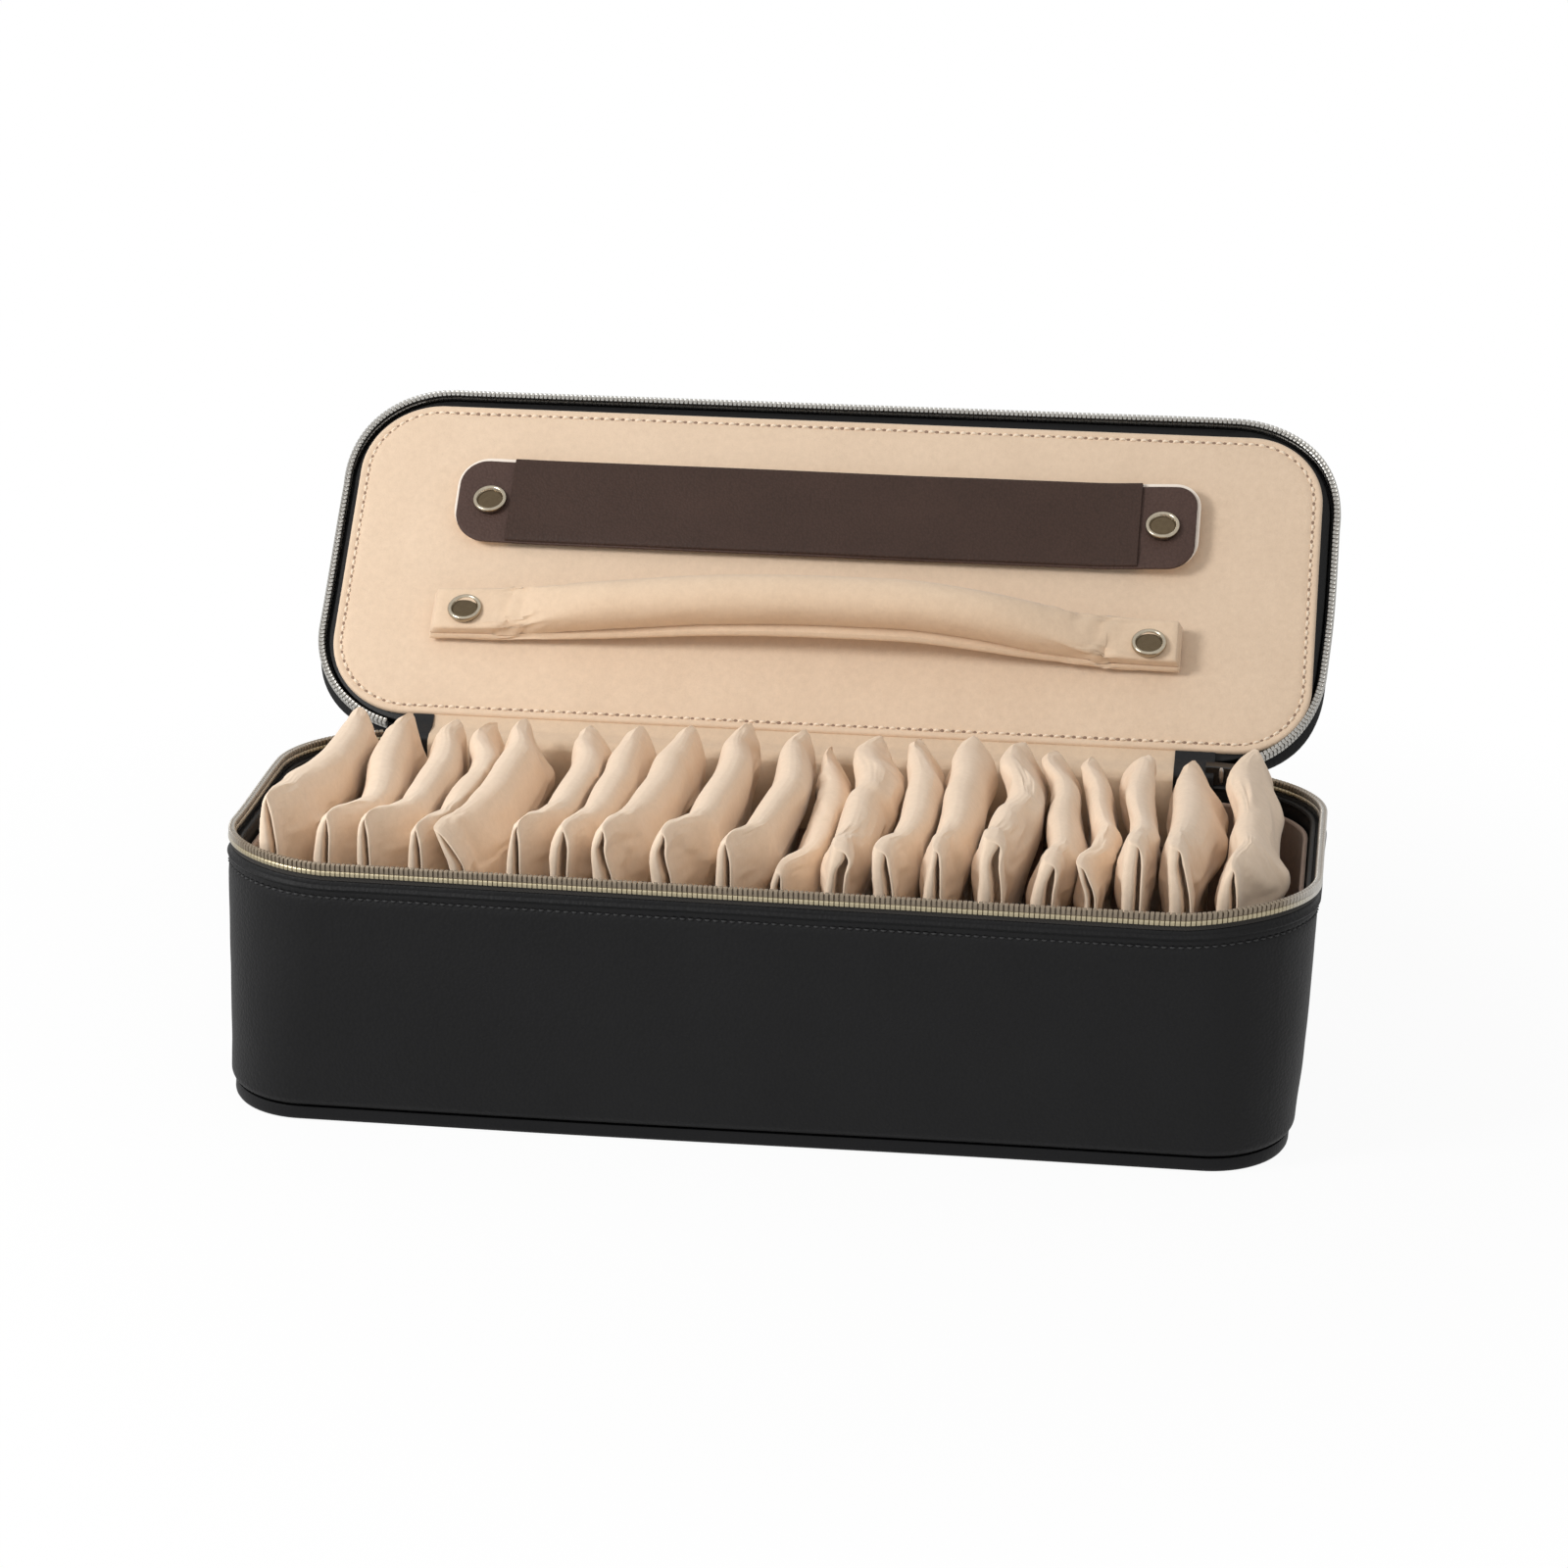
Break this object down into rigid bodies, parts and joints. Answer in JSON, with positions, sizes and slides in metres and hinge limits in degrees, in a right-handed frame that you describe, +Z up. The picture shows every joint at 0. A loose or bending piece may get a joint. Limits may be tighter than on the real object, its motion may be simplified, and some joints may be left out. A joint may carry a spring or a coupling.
{
  "type": "travel jewelry box",
  "caption": "Soft rounded travel jewelry box with a zipped hinged lid, a row of loose padded pouches on edge, and an earring strap and a ring roll held by snaps in the lid.",
  "frame": {"origin": "centre of the base board's flat underside", "axes": "+X along the long side to the viewer's right, +Y from the front to the hinge at the back, +Z up"},
  "size_m": [0.3212, 0.2188, 0.1639],
  "materials": {
    "base_leather": "black covered board, fine grain",
    "black_leather": "black soft leather with a fine pebble grain",
    "lining_suede": "beige microsuede in shade",
    "beige_suede": "beige microsuede with a stitched edge",
    "zip_tape": "woven zip tape",
    "pale_gold": "pale gold plate",
    "nickel": "bright nickel plate",
    "padding_foam": "soft foam, hidden",
    "brown_leather": "dark brown smooth leather",
    "pouch_suede": "soft beige microsuede"
  },
  "bodies": {
    "case": {"base_panel": "base_leather", "body_shell": "black_leather", "body_lining": "lining_suede", "body_facing": "black_leather", "zip_lower_tape": "zip_tape", "zip_lower_teeth": "pale_gold", "spine_lower": "black_leather", "hinge_strip_lower": "beige_suede", "zip_stop_left": "nickel", "zip_stop_right": "nickel"},
    "lid": {"lid_shell": "black_leather", "lid_facing": "black_leather", "lid_padding": "padding_foam", "lid_panel": "beige_suede", "zip_upper_tape": "zip_tape", "zip_upper_teeth": "pale_gold", "spine_upper": "black_leather", "hinge_strip_upper": "beige_suede", "strap_stud_left": "nickel", "strap_stud_right": "nickel", "roll_stud_left": "nickel", "roll_stud_right": "nickel"},
    "strap": {"strap_backing": "beige_suede", "strap_face": "brown_leather", "strap_sleeve": "brown_leather", "strap_cap_left": "pale_gold", "strap_cap_right": "pale_gold"},
    "roll": {"ring_roll": "beige_suede", "roll_cap_left": "pale_gold", "roll_cap_right": "pale_gold"},
    "slider": {"zip_slider": "nickel"},
    "pull": {"zip_pull": "nickel"},
    "pouch_01": {"pouch_01": "pouch_suede"},
    "pouch_02": {"pouch_02": "pouch_suede"},
    "pouch_03": {"pouch_03": "pouch_suede"},
    "pouch_04": {"pouch_04": "pouch_suede"},
    "pouch_05": {"pouch_05": "pouch_suede"},
    "pouch_06": {"pouch_06": "pouch_suede"},
    "pouch_07": {"pouch_07": "pouch_suede"},
    "pouch_08": {"pouch_08": "pouch_suede"},
    "pouch_09": {"pouch_09": "pouch_suede"},
    "pouch_10": {"pouch_10": "pouch_suede"},
    "pouch_11": {"pouch_11": "pouch_suede"},
    "pouch_12": {"pouch_12": "pouch_suede"},
    "pouch_13": {"pouch_13": "pouch_suede"},
    "pouch_14": {"pouch_14": "pouch_suede"},
    "pouch_15": {"pouch_15": "pouch_suede"},
    "pouch_16": {"pouch_16": "pouch_suede"},
    "pouch_17": {"pouch_17": "pouch_suede"},
    "pouch_18": {"pouch_18": "pouch_suede"},
    "pouch_19": {"pouch_19": "pouch_suede"},
    "pouch_20": {"pouch_20": "pouch_suede"}
  },
  "joints": [
    {"name": "lid_hinge", "type": "hinge", "parent": "case", "child": "lid", "pos_m": [0, 0.0619, 0.0782], "axis": [-1, 0, 0], "range_deg": [-136.3, 0], "deforming": ["pouch_01", "pouch_02", "pouch_03", "pouch_04", "pouch_05", "pouch_06", "pouch_07", "pouch_08", "pouch_09", "pouch_10", "pouch_11", "pouch_12", "pouch_13", "pouch_14", "pouch_15", "pouch_16", "pouch_17", "pouch_18", "pouch_19", "pouch_20"]},
    {"name": "strap_lift", "type": "slide", "parent": "lid", "child": "strap", "axis": [0, -0.6909, 0.723], "range_m": [0, 0.05]},
    {"name": "roll_lift", "type": "slide", "parent": "lid", "child": "roll", "axis": [0, -0.6909, 0.723], "range_m": [0, 0.05]},
    {"name": "slider_travel", "type": "hinge", "parent": "case", "child": "slider", "pos_m": [0.1243, 0.0258, 0.0782], "axis": [0, 0, -1], "range_deg": [0, 80]},
    {"name": "pull_swing", "type": "hinge", "parent": "slider", "child": "pull", "pos_m": [0.12845, 0.06398, 0.072], "axis": [0.9942, -0.108, 0], "range_deg": [0, 35]},
    {"name": "pouch_01_lift", "type": "slide", "parent": "case", "child": "pouch_01", "axis": [0, 0, 1], "range_m": [0, 0.09]},
    {"name": "pouch_02_lift", "type": "slide", "parent": "case", "child": "pouch_02", "axis": [0, 0, 1], "range_m": [0, 0.09]},
    {"name": "pouch_03_lift", "type": "slide", "parent": "case", "child": "pouch_03", "axis": [0, 0, 1], "range_m": [0, 0.09]},
    {"name": "pouch_04_lift", "type": "slide", "parent": "case", "child": "pouch_04", "axis": [0, 0, 1], "range_m": [0, 0.09]},
    {"name": "pouch_05_lift", "type": "slide", "parent": "case", "child": "pouch_05", "axis": [0, 0, 1], "range_m": [0, 0.09]},
    {"name": "pouch_06_lift", "type": "slide", "parent": "case", "child": "pouch_06", "axis": [0, 0, 1], "range_m": [0, 0.09]},
    {"name": "pouch_07_lift", "type": "slide", "parent": "case", "child": "pouch_07", "axis": [0, 0, 1], "range_m": [0, 0.09]},
    {"name": "pouch_08_lift", "type": "slide", "parent": "case", "child": "pouch_08", "axis": [0, 0, 1], "range_m": [0, 0.09]},
    {"name": "pouch_09_lift", "type": "slide", "parent": "case", "child": "pouch_09", "axis": [0, 0, 1], "range_m": [0, 0.09]},
    {"name": "pouch_10_lift", "type": "slide", "parent": "case", "child": "pouch_10", "axis": [0, 0, 1], "range_m": [0, 0.09]},
    {"name": "pouch_11_lift", "type": "slide", "parent": "case", "child": "pouch_11", "axis": [0, 0, 1], "range_m": [0, 0.09]},
    {"name": "pouch_12_lift", "type": "slide", "parent": "case", "child": "pouch_12", "axis": [0, 0, 1], "range_m": [0, 0.09]},
    {"name": "pouch_13_lift", "type": "slide", "parent": "case", "child": "pouch_13", "axis": [0, 0, 1], "range_m": [0, 0.09]},
    {"name": "pouch_14_lift", "type": "slide", "parent": "case", "child": "pouch_14", "axis": [0, 0, 1], "range_m": [0, 0.09]},
    {"name": "pouch_15_lift", "type": "slide", "parent": "case", "child": "pouch_15", "axis": [0, 0, 1], "range_m": [0, 0.09]},
    {"name": "pouch_16_lift", "type": "slide", "parent": "case", "child": "pouch_16", "axis": [0, 0, 1], "range_m": [0, 0.09]},
    {"name": "pouch_17_lift", "type": "slide", "parent": "case", "child": "pouch_17", "axis": [0, 0, 1], "range_m": [0, 0.09]},
    {"name": "pouch_18_lift", "type": "slide", "parent": "case", "child": "pouch_18", "axis": [0, 0, 1], "range_m": [0, 0.09]},
    {"name": "pouch_19_lift", "type": "slide", "parent": "case", "child": "pouch_19", "axis": [0, 0, 1], "range_m": [0, 0.09]},
    {"name": "pouch_20_lift", "type": "slide", "parent": "case", "child": "pouch_20", "axis": [0, 0, 1], "range_m": [0, 0.09]}
  ]
}
